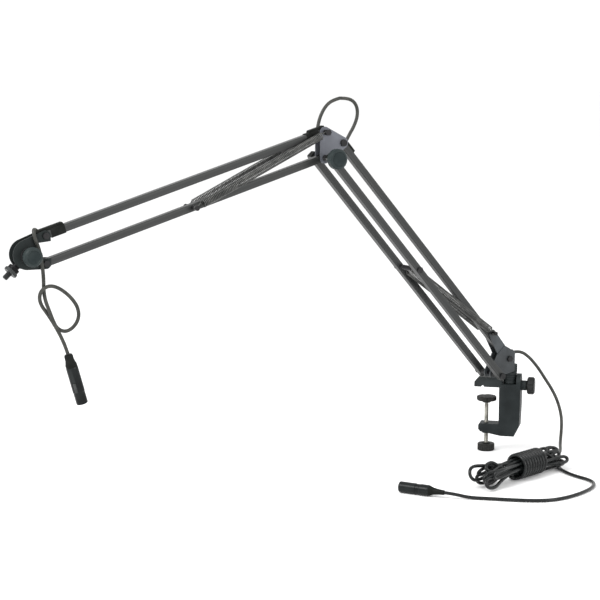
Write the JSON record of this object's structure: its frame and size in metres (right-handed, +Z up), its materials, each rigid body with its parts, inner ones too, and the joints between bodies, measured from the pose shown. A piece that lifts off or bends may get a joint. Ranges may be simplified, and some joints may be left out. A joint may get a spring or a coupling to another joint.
{
  "type": "desk boom arm",
  "caption": "Desk-clamped spring-balanced boom arm with square tubes, tilting threaded microphone stud and built-in cable with plugs.",
  "frame": {"origin": "on the underside of the clamp's upper jaw, on the axis of the clamp screw", "axes": "+Z up, -X towards the open side of the clamp; the arm stands turned 46 degrees about the swivel"},
  "size_m": [0.8835, 0.7588, 0.673],
  "materials": {
    "tube_paint": "semi-gloss",
    "clamp_paint": "satin",
    "plate_paint": "semi-gloss",
    "screw_steel": "threaded",
    "screw_knob": "knurled",
    "knob_plastic": "satin",
    "black_steel": "blackened",
    "spring_steel": "dark plated",
    "cap_plastic": "matte",
    "cable_rubber": "matte",
    "swivel_metal": "satin",
    "plug_shell": "satin",
    "plug_boot": "matte",
    "plug_insert": "matte",
    "latch_plastic": "satin"
  },
  "bodies": {
    "clamp": {"clamp_frame": "clamp_paint", "base_lead": "cable_rubber", "cord_hank": "cable_rubber", "tail_lead": "cable_rubber", "xlr_male_boot": "plug_boot", "xlr_male_shell": "plug_shell", "xlr_male_insert": "plug_insert"},
    "pad": {"clamp_pad": "clamp_paint"},
    "screw": {"clamp_screw": "screw_steel", "clamp_screw_knob": "screw_knob"},
    "swivel_lock": {"swivel_lock_knob": "knob_plastic", "swivel_lock_screw": "screw_steel"},
    "base": {"swivel_post": "clamp_paint", "swivel_collar": "clamp_paint", "base_block": "clamp_paint", "base_plate_front": "plate_paint", "base_plate_rear": "plate_paint", "base_bolts": "black_steel", "base_spacers": "black_steel", "spring_studs": "black_steel", "cable_gland": "cap_plastic", "lead_start": "cable_rubber"},
    "lower_middle": {"lower_tube_centre": "tube_paint", "centre_tube_caps": "cap_plastic", "elbow_outlet": "cap_plastic", "lower_inner_cable": "cable_rubber", "elbow_loop_rise": "cable_rubber"},
    "lower_outer": {"lower_tube_front": "tube_paint", "lower_tube_rear": "tube_paint", "outer_tube_caps": "cap_plastic", "spring_cross_rod": "black_steel", "lower_springs": "spring_steel"},
    "elbow": {"elbow_plate_front": "plate_paint", "elbow_plate_rear": "plate_paint", "elbow_bolts": "black_steel", "elbow_lock_bolt": "black_steel", "elbow_spacers": "black_steel"},
    "elbow_lock": {"elbow_lock_knob": "knob_plastic"},
    "upper_top": {"upper_tube_top": "tube_paint", "upper_outlets": "cap_plastic", "upper_inner_cable": "cable_rubber", "elbow_loop_fall": "cable_rubber"},
    "upper_bottom": {"upper_tube_bottom": "tube_paint", "upper_tube_caps": "cap_plastic", "upper_spring_pin": "black_steel", "upper_springs": "spring_steel"},
    "head": {"head_plate_front": "plate_paint", "head_plate_rear": "plate_paint", "head_bolts": "black_steel", "head_lock_bolt": "black_steel", "head_cable": "cable_rubber", "xlr_female_boot": "plug_boot", "xlr_female_shell": "plug_shell", "xlr_female_insert": "plug_insert"},
    "head_lock": {"head_lock_knob": "knob_plastic"},
    "mic_mount": {"mic_swivel": "swivel_metal", "mic_stud": "swivel_metal"},
    "stud_ring": {"stud_lock_ring": "swivel_metal"},
    "latch": {"xlr_female_latch": "latch_plastic"}
  },
  "joints": [
    {"name": "pad_slide", "type": "slide", "parent": "clamp", "child": "pad", "axis": [0, 0, 1], "range_m": [-0.03, 0.012]},
    {"name": "screw_turn", "type": "hinge", "parent": "pad", "child": "screw", "pos_m": [0, 0, -0.06], "axis": [0, 0, 1], "range_deg": [-8645, 3460]},
    {"name": "swivel_lock_turn", "type": "hinge", "parent": "clamp", "child": "swivel_lock", "pos_m": [0.07, 0, 0.0035], "axis": [1, 0, 0], "range_deg": [-20, 360]},
    {"name": "swivel", "type": "hinge", "parent": "clamp", "child": "base", "pos_m": [0.044, 0, 0.02], "axis": [0, 0, 1], "range_deg": [-110, 90]},
    {"name": "lower_arm_tilt", "type": "hinge", "parent": "base", "child": "lower_middle", "pos_m": [0.03636, -0.00791, 0.056], "axis": [0.7193, -0.6947, 0], "range_deg": [-52, 40], "deforming": ["elbow_loop_rise", "lead_start"]},
    {"name": "outer_tubes_tilt", "type": "hinge", "parent": "base", "child": "lower_outer", "pos_m": [0.01066, -0.03453, 0.031], "axis": [0.7193, -0.6947, 0], "range_deg": [-52, 40], "deforming": ["lower_springs"]},
    {"name": "elbow_level", "type": "hinge", "parent": "lower_middle", "child": "elbow", "pos_m": [-0.22351, -0.27702, 0.47002], "axis": [0.7193, -0.6947, 0], "range_deg": [-40, 52]},
    {"name": "elbow_lock_turn", "type": "hinge", "parent": "elbow", "child": "elbow_lock", "pos_m": [-0.21756, -0.3342, 0.44502], "axis": [0.7193, -0.6947, 0], "range_deg": [-20, 360]},
    {"name": "upper_arm_tilt", "type": "hinge", "parent": "elbow", "child": "upper_top", "pos_m": [-0.24921, -0.30363, 0.48902], "axis": [0.7193, -0.6947, 0], "range_deg": [-40, 50], "deforming": ["elbow_loop_fall"]},
    {"name": "bottom_tube_tilt", "type": "hinge", "parent": "elbow", "child": "upper_bottom", "pos_m": [-0.24921, -0.30363, 0.44502], "axis": [0.7193, -0.6947, 0], "range_deg": [-40, 50], "deforming": ["upper_springs"]},
    {"name": "head_level", "type": "hinge", "parent": "upper_top", "child": "head", "pos_m": [-0.60998, -0.67721, 0.34109], "axis": [0.7193, -0.6947, 0], "range_deg": [-50, 40], "deforming": ["head_cable"]},
    {"name": "head_lock_turn", "type": "hinge", "parent": "head", "child": "head_lock", "pos_m": [-0.61321, -0.71511, 0.31099], "axis": [0.7193, -0.6947, 0], "range_deg": [-20, 360]},
    {"name": "microphone_tilt", "type": "hinge", "parent": "head", "child": "mic_mount", "pos_m": [-0.63047, -0.69844, 0.31099], "axis": [0.7193, -0.6947, 0], "range_deg": [-70, 60]},
    {"name": "ring_turn", "type": "hinge", "parent": "mic_mount", "child": "stud_ring", "pos_m": [-0.64854, -0.71715, 0.28757], "axis": [-0.516, -0.535, -0.669], "continuous": true},
    {"name": "latch_press", "type": "slide", "parent": "head", "child": "latch", "axis": [-0.0533, 0.9804, 0.1897], "range_m": [0, 0.0005], "stiffness_N_per_m": 800}
  ],
  "couplings": [
    {"joint": "screw_turn", "follows": "pad_slide", "rad_per_m": 5026.5},
    {"joint": "outer_tubes_tilt", "follows": "lower_arm_tilt", "ratio": 1},
    {"joint": "elbow_level", "follows": "lower_arm_tilt", "ratio": -1},
    {"joint": "bottom_tube_tilt", "follows": "upper_arm_tilt", "ratio": 1},
    {"joint": "head_level", "follows": "upper_arm_tilt", "ratio": -1}
  ]
}
